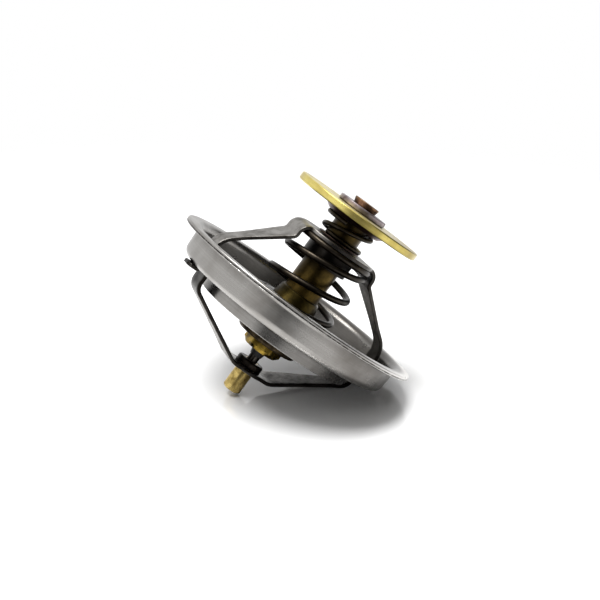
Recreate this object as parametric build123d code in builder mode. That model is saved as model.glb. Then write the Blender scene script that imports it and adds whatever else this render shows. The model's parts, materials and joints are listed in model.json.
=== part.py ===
"""Engine thermostat insert with a bypass valve.

The flange seat, which is the underside of the lip, is z = 0, and the axis of the wax element is +Z.
The main valve opens upwards, towards the bypass disc. The cage and the bridge lie along X.
Lengths are in millimetres.
"""

import math
import os

from build123d import *

# Flange pressing: lip, cup wall, shoulder and throat in one sheet
flange_sheet = 1.0
lip_radius = 33.5
lip_width = 3.6              # from the rim in to the outside of the cup wall
lip_edge_round = 0.3
cup_taper = 0.3              # how much smaller the wall is at the shoulder
cup_depth = 6.9              # from the seat to the underside of the shoulder
shoulder_width = 8.5         # from the cup wall in to the outside of the throat
throat_length = 3.5          # below the shoulder
lip_bend = 1.5               # bend radii at the middle of the sheet
cup_bend = 1.5
throat_bend = 0.9

# Main valve on its seat, the cup floor at the edge of the throat
seal_height = 0.7
seal_width = 1.4             # from the outside of the throat outwards
seal_round = 0.3
seal_overhang = 0.2          # how far the ring stands out past the plate
valve_sheet = 1.0
valve_rim_width = 3.1        # the flat rim, outside the cone
valve_spring_margin = 1.925  # from the spring out to the cone
valve_rise = 2.5             # from the rim up to the spring seat
retainer_wall = 1.5
retainer_height = 3.3
retainer_chamfer = 0.4

# Spring cage: round plate, two legs and tapered arms, hooked under the shoulder through slots
cage_sheet = 0.9
cage_height = 16.9           # top of the plate above the seat
cage_plate_margin = 0.35     # the plate past the middle of the spring's wire
cage_spring_gap = 0.425      # between the spring and a leg
cage_leg_drop = 4.15         # from the top of the plate down to the knee
cage_foot_height = 1.6       # where the line of the arm meets the foot
cage_foot_inset = 3.25       # from the cup wall in to the middle of the foot
cage_top_bend = 2.55
cage_knee_bend = 1.6
cage_foot_bend = 5.6
cage_leg_width = 8.2
cage_arm_width = 4.7
cage_foot_width = 5.0
cage_narrow_inset = 5.15     # from the foot in to where the arm is narrowest
cage_tab_inset = 0.1         # the tab's tip inside the cup wall
cage_collar_gap = 0.65       # between the capsule and the collar
cage_collar_length = 5.6
cage_collar_bend = 0.9
cage_plan_fillet = 1.2
cage_tab_corner = 1.2

# Bridge: strap under the flange that carries the piston pin
bridge_sheet = 1.0
bridge_pad_radius = 5.4
bridge_flat = 5.6            # half length of the flat centre
bridge_root_width = 9.4
bridge_arm_width = 6.2
bridge_narrow_inset = 5.4    # from the leg in to where the arm is narrowest
bridge_seal_gap = 1.0        # from the valve seal out to the slot
bridge_elbow_rise = 10.6     # from the underside of the centre up to the elbow
bridge_elbow_bend = 3.0
bridge_centre_bend = 5.0
bridge_hook_gap = 0.15       # between the hook's tip and the cage's slot

# Fits of the two straps in the flange slots
slot_clearance = 0.1
hook_bend = 0.3              # inside radius of each hook

# Pin, washer and piston
pin_shank_wall = 0.53
pin_step_width = 0.45        # how far the pin stands out past its shank
pin_length = 6.2             # below the bridge
pin_chamfer = 0.5
washer_width = 1.6           # past the shank
washer_height = 1.8
washer_gap = 1.6             # below the piston seal when the valve is shut
washer_chamfer = 0.35
piston_radius = 1.42
piston_socket = 7.2          # how deep the piston stands in the pin, from the washer's top
piston_end_gap = 0.6         # over the piston in the boot when the valve is shut
piston_chamfer = 0.3

# Wax element
capsule_radius = 4.8
capsule_wall = 0.9
capsule_step_gap = 0.15      # from the cage plate up to the step
capsule_step_width = 0.45    # from the capsule in to the nose
nose_length = 9.2            # above the step
nose_chamfer = 0.3
capsule_drop = 8.5           # from the valve's spring seat down to the capsule's flange
capsule_flange_width = 2.7
capsule_flange_height = 1.1
capsule_crown = 3.2          # thickness of the closed end, below the step
guide_flange_height = 1.1
hex_corners = 10.7
hex_height = 2.5             # below the collar
hex_turn = 34.0
hex_chamfer = 0.7
collar_wall = 0.9
collar_round = 0.8
collar_crimp_round = 0.5
boot_wall = 1.35
boot_cap = 1.2
boot_end_gap = 1.5           # wax over the end of the boot
nose_seal_wall = 0.46
nose_seal_tip_wall = 0.11
nose_seal_height = 1.6
nose_seal_root_wall = 1.21
nose_seal_root_height = 1.1
piston_clearance = 0.07

# Bypass valve
spring_seat_width = 1.45     # past the nose
spring_seat_height = 0.4
bypass_disc_radius = 17.35
bypass_disc_height = 1.9
bypass_disc_chamfer = 0.25
bypass_dish_height = 1.4
bypass_dish_flare = 1.85     # how much wider the dish is at its top
bypass_dish_gap = 0.1        # from the spring out to the edge of the dish's floor
bypass_dish_sheet = 0.6
bypass_dish_lip = 0.8
bypass_clearance = 0.08
stop_washer_width = 2.3      # past the nose
stop_washer_height = 1.3
stop_washer_chamfer = 0.15
stop_washer_gap = 0.1        # free play over the disc
rivet_radius = 3.45
rivet_height = 1.5
rivet_undercut = 0.35
rivet_step_width = 0.95      # how far the head stands out past its shank
rivet_shank_depth = 4.0      # into the nose

# Coil springs
spring_wire = 1.65
spring_radius = 10.25        # to the middle of the wire
spring_rest = 203.0          # degrees of closed coil at each end
spring_ease = 117.0          # degrees over which the pitch comes in
spring_active = 720.0        # degrees at full pitch
spring_turn = -346.0         # where the lower end lies, seen from above
bypass_wire = 1.2
bypass_spring_gap = 0.2      # between the nose and the lower end of the coil
bypass_spring_flare = 1.4    # how much wider the coil is at its upper end
bypass_spring_rest = 170.0
bypass_spring_ease = 120.0
bypass_spring_active = 250.0
bypass_spring_turn = -206.0
coil_step = 15.0             # degrees between the points of a coil

# Radii that follow from these, from the rim inwards and then from the element outwards
cup_radius = lip_radius - lip_width            # just under the lip
throat_radius = cup_radius - shoulder_width
seal_radius = throat_radius + seal_width
valve_radius = seal_radius - seal_overhang
valve_cone_outer = valve_radius - valve_rim_width
valve_cone_inner = spring_radius + spring_wire / 2 + valve_spring_margin
cage_plate_radius = spring_radius + cage_plate_margin
cage_leg_radius = spring_radius + spring_wire / 2 + cage_spring_gap + cage_sheet / 2
cage_foot_radius = cup_radius - cage_foot_inset
cage_arm_narrow = cage_foot_radius - cage_narrow_inset
cage_tab_reach = cup_radius - cage_tab_inset
cage_slot_inner = cage_foot_radius - cage_sheet / 2 - slot_clearance
cage_slot_outer = cage_foot_radius + cage_sheet / 2 + hook_bend + slot_clearance / 2
bridge_leg_radius = seal_radius + bridge_seal_gap + slot_clearance + bridge_sheet / 2
bridge_arm_narrow = bridge_leg_radius - bridge_narrow_inset
bridge_hook_reach = cage_slot_inner - bridge_hook_gap
bridge_slot_inner = bridge_leg_radius - bridge_sheet / 2 - slot_clearance
bridge_slot_outer = bridge_leg_radius + bridge_sheet / 2 + hook_bend + slot_clearance / 2
piston_bore = piston_radius + piston_clearance
pin_shank_radius = piston_radius + pin_shank_wall
pin_radius = pin_shank_radius + pin_step_width
washer_radius = pin_shank_radius + washer_width
nose_seal_radius = piston_bore + nose_seal_wall
nose_seal_tip = piston_bore + nose_seal_tip_wall
nose_seal_root_radius = piston_bore + nose_seal_root_wall
boot_radius = piston_bore + boot_wall
chamber_radius = capsule_radius - capsule_wall
capsule_flange_radius = capsule_radius + capsule_flange_width
collar_radius = capsule_flange_radius + collar_wall
retainer_radius = capsule_radius + retainer_wall
cage_collar_radius = capsule_radius + cage_collar_gap + cage_sheet
nose_radius = capsule_radius - capsule_step_width
nose_bore = nose_radius + bypass_clearance
spring_seat_radius = nose_radius + spring_seat_width
bypass_spring_radius = nose_radius + bypass_spring_gap + bypass_wire / 2
bypass_dish_radius = bypass_spring_radius + bypass_spring_flare + bypass_wire / 2 + bypass_dish_gap
bypass_dish_top_radius = bypass_dish_radius + bypass_dish_flare
stop_washer_radius = nose_radius + stop_washer_width
rivet_shank_radius = rivet_radius - rivet_step_width

# Heights that several pieces share
shoulder_under = -cup_depth
floor_top = shoulder_under + flange_sheet
rim_under = floor_top + seal_height
rim_top = rim_under + valve_sheet
spring_base = rim_top + valve_rise
plate_under = cage_height - cage_sheet
cage_knee_height = cage_height - cage_leg_drop
step_height = cage_height + capsule_step_gap
nose_top = step_height + nose_length
seat_top = step_height + spring_seat_height
capsule_flange_top = spring_base - capsule_drop
capsule_flange_under = capsule_flange_top - capsule_flange_height
guide_flange_under = capsule_flange_under - guide_flange_height
collar_under = guide_flange_under - collar_wall
hex_under = collar_under - hex_height
washer_top = hex_under - nose_seal_height - washer_gap
bridge_top = washer_top - washer_height
bridge_under = bridge_top - bridge_sheet
bridge_elbow_height = bridge_under + bridge_elbow_rise
pin_tip = bridge_under - pin_length
piston_foot = washer_top - piston_socket
stop_under = nose_top + stop_washer_gap
disc_top = nose_top
disc_under = disc_top - bypass_disc_height
dish_under = disc_under - bypass_dish_height
stop_top = stop_under + stop_washer_height
rivet_top = stop_top + rivet_height
chamber_top = step_height - capsule_crown
throat_under = shoulder_under - throat_length
boot_top = chamber_top - boot_end_gap
piston_top = boot_top - boot_cap - piston_end_gap
collar_top = capsule_flange_top + collar_wall

seated = (Align.CENTER, Align.CENTER, Align.MIN)    # a cylinder that stands on its base
os.makedirs("parts", exist_ok=True)


def closed_coil(low, high, rest, ease, active):
    """Height along a coil that lies flat at both ends, with one steady pitch between them."""
    slope = (high - low) / (active + ease)

    def height(angle):
        rising = min(max(angle - rest, 0.0), 2 * ease + active)
        first = min(rising, ease)
        steady = min(max(rising - ease, 0.0), active)
        last = max(rising - ease - active, 0.0)
        return low + slope * (first ** 2 / (2 * ease) + steady + last - last ** 2 / (2 * ease))

    return height


def coil_points(radius_at, height_at, total, start):
    """Points along the middle of a spring's wire, one every few degrees."""
    count = math.ceil(total / coil_step)
    points = []
    for index in range(count + 1):
        angle = total * index / count
        turn = math.radians(start + angle)
        radius = radius_at(angle)
        points.append((radius * math.cos(turn), radius * math.sin(turn), height_at(angle)))
    return points


# Flange: one drawn sheet, with a slot for each hook of the cage and of the bridge
with BuildPart() as flange:
    with BuildSketch(Plane.XZ):
        with BuildLine():
            half = flange_sheet / 2
            FilletPolyline(
                (lip_radius, half),
                (cup_radius - half, half),
                (cup_radius - cup_taper - half, shoulder_under + half),
                (throat_radius - half, shoulder_under + half),
                (throat_radius - half, throat_under),
                radius=[lip_bend, cup_bend, throat_bend],
            )
        trace(line_width=flange_sheet)
    revolve(axis=Axis.Z)
    lip_edges = flange.edges().filter_by(lambda edge: edge.bounding_box().max.X > lip_radius - lip_edge_round)
    fillet(lip_edges, radius=lip_edge_round)
    with BuildSketch(Plane.XY.offset(shoulder_under)):
        for side in (-1, 1):
            with Locations((side * (cage_slot_inner + cage_slot_outer) / 2, 0)):
                Rectangle(cage_slot_outer - cage_slot_inner, cage_foot_width + 2 * slot_clearance)
            with Locations((side * (bridge_slot_inner + bridge_slot_outer) / 2, 0)):
                Rectangle(bridge_slot_outer - bridge_slot_inner, bridge_arm_width + 2 * slot_clearance)
    extrude(amount=flange_sheet, mode=Mode.SUBTRACT)
flange.part.label = "flange"
export_step(flange.part, "parts/flange.step")

# Spring cage: the bent section trimmed to the outline of its blank, with a drawn collar
with BuildPart() as spring_cage:
    with BuildSketch(Plane.XZ):
        with BuildLine():
            half = cage_sheet / 2
            FilletPolyline(
                (0, cage_height - half),
                (cage_leg_radius, cage_height - half),
                (cage_leg_radius, cage_knee_height),
                (cage_foot_radius, cage_foot_height),
                (cage_foot_radius, shoulder_under - half),
                (cage_tab_reach, shoulder_under - half),
                radius=[cage_top_bend, cage_knee_bend, cage_foot_bend, hook_bend + half],
            )
        trace(line_width=cage_sheet)
    extrude(amount=cage_plate_radius, both=True)
    mirror(about=Plane.YZ)
    with BuildSketch(Plane.XY.offset(shoulder_under - cage_sheet)) as cage_blank:
        with BuildLine():
            Polyline(
                (0, 0),
                (0, cage_leg_width / 2),
                (cage_leg_radius + cage_sheet, cage_leg_width / 2),
                (cage_arm_narrow, cage_arm_width / 2),
                (cage_foot_radius, cage_foot_width / 2),
                (cage_tab_reach, cage_foot_width / 2),
                (cage_tab_reach, 0),
                close=True,
            )
        make_face()
        mirror(about=Plane.XZ)
        mirror(about=Plane.YZ)
        Circle(cage_plate_radius)
        on_plate_rim = cage_blank.vertices().filter_by(
            lambda corner: abs(math.hypot(corner.X, corner.Y) - cage_plate_radius) < 0.01
        )
        fillet(on_plate_rim, radius=cage_plan_fillet)
        at_tab_tip = cage_blank.vertices().filter_by(lambda corner: abs(corner.X) > cage_tab_reach - 0.01)
        fillet(at_tab_tip, radius=cage_tab_corner)
    extrude(amount=cage_height - shoulder_under + 2 * cage_sheet, mode=Mode.INTERSECT)
    with Locations((0, 0, plate_under)):
        Cylinder(cage_collar_radius, cage_sheet, align=seated, mode=Mode.SUBTRACT)
    with BuildSketch(Plane.XZ):
        with BuildLine():
            FilletPolyline(
                (cage_collar_radius + cage_sheet, cage_height - half),
                (cage_collar_radius - half, cage_height - half),
                (cage_collar_radius - half, plate_under - cage_collar_length),
                radius=cage_collar_bend,
            )
        trace(line_width=cage_sheet)
    revolve(axis=Axis.Z)
spring_cage.part.label = "spring_cage"
export_step(spring_cage.part, "parts/spring_cage.step")

# Bridge: a tapered strap with a round pad, bent down from two hooks on the cup floor
with BuildPart() as bridge:
    with BuildSketch(Plane.XZ):
        with BuildLine():
            half = bridge_sheet / 2
            FilletPolyline(
                (0, bridge_under + half),
                (bridge_flat, bridge_under + half),
                (bridge_leg_radius, bridge_elbow_height),
                (bridge_leg_radius, floor_top + half),
                (bridge_hook_reach, floor_top + half),
                radius=[bridge_centre_bend, bridge_elbow_bend, hook_bend + half],
            )
        trace(line_width=bridge_sheet)
    extrude(amount=bridge_pad_radius, both=True)
    mirror(about=Plane.YZ)
    with BuildSketch(Plane.XY.offset(bridge_under)) as bridge_blank:
        with BuildLine():
            Polyline(
                (0, 0),
                (0, bridge_root_width / 2),
                (bridge_flat, bridge_root_width / 2),
                (bridge_arm_narrow, bridge_arm_width / 2),
                (bridge_hook_reach, bridge_arm_width / 2),
                (bridge_hook_reach, 0),
                close=True,
            )
        make_face()
        mirror(about=Plane.XZ)
        mirror(about=Plane.YZ)
        Circle(bridge_pad_radius)
    extrude(amount=floor_top + 2 * bridge_sheet - bridge_under, mode=Mode.INTERSECT)
    with Locations((0, 0, bridge_top)):
        Hole(pin_shank_radius)
bridge.part.label = "bridge"
export_step(bridge.part, "parts/bridge.step")

# Anchor pin: stands under the bridge, its shank goes through the strap and the washer
with BuildPart() as anchor_pin:
    with Locations((0, 0, pin_tip)):
        Cylinder(pin_radius, pin_length, align=seated)
    chamfer(anchor_pin.edges().group_by(Axis.Z)[0], length=pin_chamfer)
    with Locations((0, 0, bridge_under)):
        Cylinder(pin_shank_radius, washer_top - bridge_under, align=seated)
    with Locations((0, 0, piston_foot)):
        Cylinder(piston_radius, piston_socket, align=seated, mode=Mode.SUBTRACT)
anchor_pin.part.label = "anchor_pin"
export_step(anchor_pin.part, "parts/anchor_pin.step")

# Anchor washer: collar on top of the bridge, pressed on the pin's shank
with BuildPart() as anchor_washer:
    with Locations((0, 0, bridge_top)):
        Cylinder(washer_radius, washer_height, align=seated)
    chamfer(anchor_washer.edges().group_by(Axis.Z)[-1], length=washer_chamfer)
    with Locations((0, 0, washer_top)):
        Hole(pin_shank_radius)
anchor_washer.part.label = "anchor_washer"
export_step(anchor_washer.part, "parts/anchor_washer.step")

# Piston: ground rod from the socket in the pin up into the boot
with BuildPart() as piston:
    with Locations((0, 0, piston_foot)):
        Cylinder(piston_radius, piston_top - piston_foot, align=seated)
    chamfer(piston.edges().group_by(Axis.Z)[-1], length=piston_chamfer)
piston.part.label = "piston"
export_step(piston.part, "parts/piston.step")

# Main valve plate: flat rim, cone and spring seat in one pressed sheet
with BuildPart() as valve_disc:
    with BuildSketch(Plane.XZ):
        with BuildLine():
            Polyline(
                (capsule_radius, spring_base - valve_sheet),
                (valve_cone_inner, spring_base - valve_sheet),
                (valve_cone_outer, rim_under),
                (valve_radius, rim_under),
                (valve_radius, rim_top),
                (valve_cone_outer, rim_top),
                (valve_cone_inner, spring_base),
                (capsule_radius, spring_base),
                close=True,
            )
        make_face()
    revolve(axis=Axis.Z)
valve_disc.part.label = "valve_disc"
export_step(valve_disc.part, "parts/valve_disc.step")

# Valve seal: rubber ring under the rim, it rests on the cup floor when the valve is shut
with BuildPart() as valve_seal:
    with BuildSketch(Plane.XZ) as seal_section:
        with Locations((seal_radius - seal_width / 2, floor_top + seal_height / 2)):
            Rectangle(seal_width, seal_height)
        fillet(seal_section.vertices().group_by(Axis.Z)[0], radius=seal_round)
    revolve(axis=Axis.Z)
valve_seal.part.label = "valve_seal"
export_step(valve_seal.part, "parts/valve_seal.step")

# Valve retainer: brass collar pressed on the capsule, it holds the valve plate
with BuildPart() as valve_retainer:
    with Locations((0, 0, spring_base)):
        Cylinder(retainer_radius, retainer_height, align=seated)
    chamfer(valve_retainer.edges().group_by(Axis.Z)[-1], length=retainer_chamfer)
    with Locations((0, 0, spring_base + retainer_height)):
        Hole(capsule_radius)
valve_retainer.part.label = "valve_retainer"
export_step(valve_retainer.part, "parts/valve_retainer.step")

# Wax capsule: turned cup, open below, with the bypass nose above its step
with BuildPart() as wax_capsule:
    with Locations((0, 0, capsule_flange_under)):
        Cylinder(capsule_flange_radius, capsule_flange_height, align=seated)
        Cylinder(capsule_radius, step_height - capsule_flange_under, align=seated)
        Cylinder(nose_radius, nose_top - capsule_flange_under, align=seated)
    chamfer(wax_capsule.edges().group_by(Axis.Z)[-1], length=nose_chamfer)
    with Locations((0, 0, capsule_flange_under)):
        Cylinder(chamber_radius, chamber_top - capsule_flange_under, align=seated, mode=Mode.SUBTRACT)
    with Locations((0, 0, nose_top - rivet_shank_depth)):
        Cylinder(rivet_shank_radius, rivet_shank_depth, align=seated, mode=Mode.SUBTRACT)
wax_capsule.part.label = "wax_capsule"
export_step(wax_capsule.part, "parts/wax_capsule.step")

# Rubber boot: closed sleeve round the piston, its foot is clamped under the capsule's flange
with BuildPart() as rubber_boot:
    with Locations((0, 0, capsule_flange_under)):
        Cylinder(boot_radius, boot_top - capsule_flange_under, align=seated)
        Cylinder(piston_bore, boot_top - boot_cap - capsule_flange_under, align=seated, mode=Mode.SUBTRACT)
    fillet(rubber_boot.edges().group_by(Axis.Z)[-1], radius=boot_wall / 2)
rubber_boot.part.label = "rubber_boot"
export_step(rubber_boot.part, "parts/rubber_boot.step")

# Wax charge: fills the capsule round the boot
with BuildPart() as wax_charge:
    with Locations((0, 0, capsule_flange_under)):
        Cylinder(chamber_radius, chamber_top - capsule_flange_under, align=seated)
        Cylinder(boot_radius, boot_top - capsule_flange_under, align=seated, mode=Mode.SUBTRACT)
wax_charge.part.label = "wax_charge"
export_step(wax_charge.part, "parts/wax_charge.step")

# Element guide: brass hexagon below the collar, with a flange inside it
with BuildPart() as element_guide:
    with BuildSketch(Plane.XY.offset(hex_under)):
        RegularPolygon(radius=hex_corners / 2, side_count=6, rotation=hex_turn)
    extrude(amount=guide_flange_under - hex_under)
    chamfer(element_guide.edges().group_by(Axis.Z)[0], length=hex_chamfer)
    with Locations((0, 0, guide_flange_under)):
        Cylinder(capsule_flange_radius, guide_flange_height, align=seated)
    with Locations((0, 0, capsule_flange_under)):
        Hole(piston_bore)
    with Locations((0, 0, hex_under)):
        Cylinder(nose_seal_root_radius, nose_seal_root_height, align=seated, mode=Mode.SUBTRACT)
element_guide.part.label = "element_guide"
export_step(element_guide.part, "parts/element_guide.step")

# Element collar: crimped round the flanges of the guide and the capsule
with BuildPart() as element_collar:
    with Locations((0, 0, collar_under)):
        Cylinder(collar_radius, collar_top - collar_under, align=seated)
    fillet(element_collar.edges().group_by(Axis.Z)[0], radius=collar_round)
    fillet(element_collar.edges().group_by(Axis.Z)[-1], radius=collar_crimp_round)
    with Locations((0, 0, guide_flange_under)):
        Cylinder(
            capsule_flange_radius, capsule_flange_top - guide_flange_under, align=seated, mode=Mode.SUBTRACT
        )
    with Locations((0, 0, capsule_flange_top)):
        Cylinder(capsule_radius, collar_wall, align=seated, mode=Mode.SUBTRACT)
    with BuildSketch(Plane.XY.offset(collar_under)):
        RegularPolygon(radius=hex_corners / 2, side_count=6, rotation=hex_turn)
    extrude(amount=collar_wall, mode=Mode.SUBTRACT)
element_collar.part.label = "element_collar"
export_step(element_collar.part, "parts/element_collar.step")

# Piston seal: wiper round the piston, its root sits in the guide
with BuildPart() as piston_seal:
    with Locations((0, 0, hex_under)):
        Cylinder(nose_seal_root_radius, nose_seal_root_height, align=seated)
    with Locations((0, 0, hex_under - nose_seal_height)):
        Cone(nose_seal_tip, nose_seal_radius, nose_seal_height, align=seated)
    with Locations((0, 0, hex_under + nose_seal_root_height)):
        Hole(piston_bore)
piston_seal.part.label = "piston_seal"
export_step(piston_seal.part, "parts/piston_seal.step")

# Main spring: between the valve plate and the cage plate
with BuildPart() as main_spring:
    spring_height = closed_coil(
        spring_base + spring_wire / 2, plate_under - spring_wire / 2, spring_rest, spring_ease, spring_active
    )
    spring_total = 2 * (spring_rest + spring_ease) + spring_active
    with BuildLine() as main_wire:
        Spline(*coil_points(lambda angle: spring_radius, spring_height, spring_total, spring_turn))
    with BuildSketch(Plane(origin=main_wire.line @ 0, z_dir=main_wire.line % 0)):
        Circle(spring_wire / 2)
    sweep(path=main_wire.line)
main_spring.part.label = "main_spring"
export_step(main_spring.part, "parts/main_spring.step")

# Bypass spring seat: washer on the capsule's step
with BuildPart() as bypass_spring_seat:
    with Locations((0, 0, step_height)):
        Cylinder(spring_seat_radius, spring_seat_height, align=seated)
    with Locations((0, 0, seat_top)):
        Hole(nose_radius)
bypass_spring_seat.part.label = "bypass_spring_seat"
export_step(bypass_spring_seat.part, "parts/bypass_spring_seat.step")

# Bypass spring: opens out towards the dish
with BuildPart() as bypass_spring:
    bypass_total = 2 * (bypass_spring_rest + bypass_spring_ease) + bypass_spring_active
    bypass_height = closed_coil(
        seat_top + bypass_wire / 2,
        dish_under - bypass_wire / 2,
        bypass_spring_rest,
        bypass_spring_ease,
        bypass_spring_active,
    )
    with BuildLine() as bypass_path:
        Spline(
            *coil_points(
                lambda angle: bypass_spring_radius + bypass_spring_flare * angle / bypass_total,
                bypass_height,
                bypass_total,
                bypass_spring_turn,
            )
        )
    with BuildSketch(Plane(origin=bypass_path.line @ 0, z_dir=bypass_path.line % 0)):
        Circle(bypass_wire / 2)
    sweep(path=bypass_path.line)
bypass_spring.part.label = "bypass_spring"
export_step(bypass_spring.part, "parts/bypass_spring.step")

# Bypass dish: pressed cup under the disc, the spring pushes on its floor
with BuildPart() as bypass_dish:
    with BuildSketch(Plane.XZ):
        with BuildLine():
            Polyline(
                (nose_bore, dish_under),
                (bypass_dish_radius, dish_under),
                (bypass_dish_top_radius, disc_under),
                (bypass_dish_top_radius - bypass_dish_lip, disc_under),
                (bypass_dish_radius - bypass_dish_sheet / 2, dish_under + bypass_dish_sheet),
                (nose_bore, dish_under + bypass_dish_sheet),
                close=True,
            )
        make_face()
    revolve(axis=Axis.Z)
bypass_dish.part.label = "bypass_dish"
export_step(bypass_dish.part, "parts/bypass_dish.step")

# Bypass disc: turned brass plate that slides on the nose
with BuildPart() as bypass_disc:
    with Locations((0, 0, disc_under)):
        Cylinder(bypass_disc_radius, bypass_disc_height, align=seated)
    chamfer(bypass_disc.edges().filter_by(GeomType.CIRCLE), length=bypass_disc_chamfer)
    with Locations((0, 0, disc_top)):
        Hole(nose_bore)
bypass_disc.part.label = "bypass_disc"
export_step(bypass_disc.part, "parts/bypass_disc.step")

# Stop washer: keeps the disc on the nose
with BuildPart() as stop_washer:
    with Locations((0, 0, stop_under)):
        Cylinder(stop_washer_radius, stop_washer_height, align=seated)
    chamfer(stop_washer.edges().filter_by(GeomType.CIRCLE), length=stop_washer_chamfer)
    with Locations((0, 0, stop_top)):
        Hole(rivet_shank_radius)
stop_washer.part.label = "stop_washer"
export_step(stop_washer.part, "parts/stop_washer.step")

# End rivet: undercut head over the washer, shank pressed in the nose
with BuildPart() as end_rivet:
    with BuildSketch(Plane.XZ):
        with BuildLine():
            Polyline(
                (0, nose_top - rivet_shank_depth),
                (rivet_shank_radius, nose_top - rivet_shank_depth),
                (rivet_shank_radius, stop_top),
                (rivet_radius - rivet_undercut, stop_top),
                (rivet_radius, rivet_top - rivet_undercut),
                (rivet_radius, rivet_top),
                (0, rivet_top),
                close=True,
            )
        make_face()
    revolve(axis=Axis.Z)
end_rivet.part.label = "end_rivet"
export_step(end_rivet.part, "parts/end_rivet.step")
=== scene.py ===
import json
import math
import random

import bmesh
import bpy
from mathutils import Matrix, Vector


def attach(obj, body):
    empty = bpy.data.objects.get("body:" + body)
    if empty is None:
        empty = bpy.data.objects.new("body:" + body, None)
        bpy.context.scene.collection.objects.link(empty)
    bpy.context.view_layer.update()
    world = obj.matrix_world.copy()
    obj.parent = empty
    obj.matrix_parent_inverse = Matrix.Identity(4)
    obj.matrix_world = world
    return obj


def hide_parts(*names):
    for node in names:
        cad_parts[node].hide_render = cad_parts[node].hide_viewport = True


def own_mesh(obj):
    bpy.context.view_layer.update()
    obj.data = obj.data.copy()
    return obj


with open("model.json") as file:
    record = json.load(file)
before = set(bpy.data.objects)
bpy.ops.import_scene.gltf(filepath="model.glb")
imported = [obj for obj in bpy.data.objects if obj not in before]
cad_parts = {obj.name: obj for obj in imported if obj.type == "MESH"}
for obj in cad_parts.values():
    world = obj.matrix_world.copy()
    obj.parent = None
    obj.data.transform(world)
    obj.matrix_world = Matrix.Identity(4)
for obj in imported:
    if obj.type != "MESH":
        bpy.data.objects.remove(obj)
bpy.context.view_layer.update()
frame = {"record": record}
mm = 0.001           # sizes are given in millimetres and made in metres
onAxis = 1e-6        # mm, a corner nearer to the axis lies on it
weldDistance = 1e-7  # metres
straight = 0.01      # radians, a smaller turn is no bend


# Colours are given as sRGB codes and made as linear ones
def linearColour(code):
    channels = [int(code[start:start + 2], 16) / 255 for start in (1, 3, 5)]
    return tuple(c / 12.92 if c <= 0.04045 else ((c + 0.055) / 1.055) ** 2.4 for c in channels) + (1.0,)


def addNode(tree, kind, inputs=None, **settings):
    node = tree.nodes.new(kind)
    for name, value in settings.items():
        setattr(node, name, value)
    for socket, value in (inputs or {}).items():
        if isinstance(value, bpy.types.NodeSocket):
            tree.links.new(value, node.inputs[socket])
        else:
            node.inputs[socket].default_value = value
    return node


# Where the photograph was taken from
view = {
    "azimuth": -26.0,        # degrees, the camera looks between the arms and a little from the left
    "elevation": 5.3,        # above the plane of the flange
    "distance": 0.430,       # from the middle of the flange
    "lean": 36.5,            # how far the element leans to the right in the picture
    "lens": 104.8,
    "sensor": 36.0,
    "clip": (0.01, 20.0),
    "centre": (-2.7, 1.3),   # where the middle of the flange shows, in pixels from the middle
    "frameWidth": 600,
}


def placeCamera():
    turn, rise = math.radians(view["azimuth"]), math.radians(view["elevation"])
    back = Vector((math.sin(turn) * math.cos(rise), -math.cos(turn) * math.cos(rise), math.sin(rise)))
    uprightUp = (Vector((0, 0, 1)) - back * back.z).normalized()
    uprightRight = uprightUp.cross(back)
    lean = math.radians(view["lean"])
    up = uprightUp * math.cos(lean) - uprightRight * math.sin(lean)
    right = uprightRight * math.cos(lean) + uprightUp * math.sin(lean)
    focal = view["lens"] / view["sensor"] * view["frameWidth"]
    forward = (-back - right * (view["centre"][0] / focal) - up * (view["centre"][1] / focal)).normalized()
    right = (right - forward * right.dot(forward)).normalized()
    up = right.cross(forward)
    lens = bpy.data.cameras.new("camera")
    lens.lens = view["lens"]
    lens.sensor_width = view["sensor"]
    lens.clip_start, lens.clip_end = view["clip"]
    camera = bpy.data.objects.new("camera", lens)
    bpy.context.collection.objects.link(camera)
    pose = Matrix((right, up, -forward)).transposed().to_4x4()
    pose.translation = back * view["distance"]
    camera.matrix_world = pose
    bpy.context.scene.camera = camera
    return back, right


def plainObject(name, points, faces):
    mesh = bpy.data.meshes.new(name)
    mesh.from_pydata([tuple(point) for point in points], [], faces)
    piece = bpy.data.objects.new(name, mesh)
    bpy.context.collection.objects.link(piece)
    return piece


def newMaterial(name):
    material = bpy.data.materials.new(name)
    material.use_nodes = True
    return material, material.node_tree, material.node_tree.nodes["Principled BSDF"]


# The room, in metres: a white floor and sky, one softbox overhead and black cards out of the camera's sight
stageValues = {
    "floorNormal": (-0.593, 0.0, 0.805),
    "floorHeight": -23.95,          # mm along that normal, where the pin and the foot of the cage touch it
    "floorRadius": 0.26,
    "floorFade": (0.35, 0.95),      # shares of the radius between which the sheet fades into the sky
    "floorSides": 96,
    "floorColour": "#F0F0F0",
    "floorRoughness": 0.08,
    "floorGlow": 0.02,
    "skyStrength": 1.0,
    "cardColour": "#101010",
    "cardRoughness": 0.8,
    "cardHeight": 0.26,             # of a card's middle over the floor
    "cardTall": 0.52,
    "softboxWay": (0.13, -0.13),    # from the object, towards the camera and to its right
    "softboxHeight": 0.90,
    "softboxSize": 0.54,
    "softboxWatts": 12.8,
}
# Name, way out from the object (towards the camera, to its right), width, distance, and whether metal
# mirrors it: the other two only keep light off the floor
stageCards = [
    ("flagFront", (1.0, 0.40), 1.2, 0.56, True),
    ("flagRight", (0.0, 1.0), 1.2, 0.42, True),
    ("flagLeft", (0.0, -1.0), 1.2, 0.60, False),
    ("flagBack", (-1.0, 0.0), 1.2, 0.60, False),
]


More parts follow.
